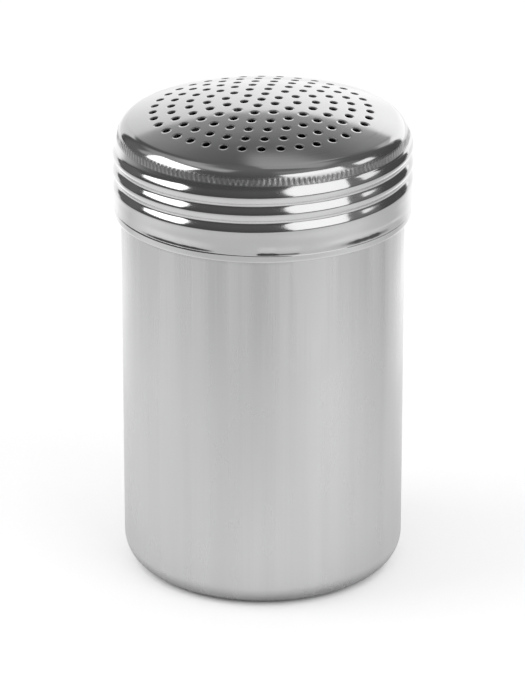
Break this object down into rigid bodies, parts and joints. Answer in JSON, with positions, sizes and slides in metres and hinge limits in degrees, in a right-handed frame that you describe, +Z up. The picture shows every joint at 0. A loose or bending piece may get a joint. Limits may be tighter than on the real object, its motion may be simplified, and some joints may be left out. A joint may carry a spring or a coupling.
{
  "type": "screw-top spice shaker",
  "caption": "Cylindrical stainless steel shaker cup with a screw-on perforated dome cap for dredging spice, sugar or flour.",
  "frame": {"origin": "centre of the bottom of the cup, in the plane that it stands on", "axes": "+Z up along the axis of the cup and its thread, -Y towards the front"},
  "size_m": [0.0718, 0.0718, 0.118],
  "materials": {
    "satin_steel": "satin, drawn lines along the wall",
    "seal_rubber": "matt food-grade silicone",
    "polished_steel": "polished"
  },
  "bodies": {
    "cup": {"shaker_body": "satin_steel"},
    "seal": {"sealing_ring": "seal_rubber"},
    "cap": {"screw_cap": "polished_steel"}
  },
  "joints": [
    {"name": "cap_lift", "type": "slide", "parent": "cup", "child": "seal", "axis": [0, 0, 1], "range_m": [0, 0.0232]},
    {"name": "cap_turn", "type": "hinge", "parent": "seal", "child": "cap", "pos_m": [0, 0, 0.11], "axis": [0, 0, 1], "range_deg": [0, 1980]}
  ],
  "couplings": [
    {"joint": "cap_lift", "follows": "cap_turn", "m_per_rad": 0.00066845}
  ]
}
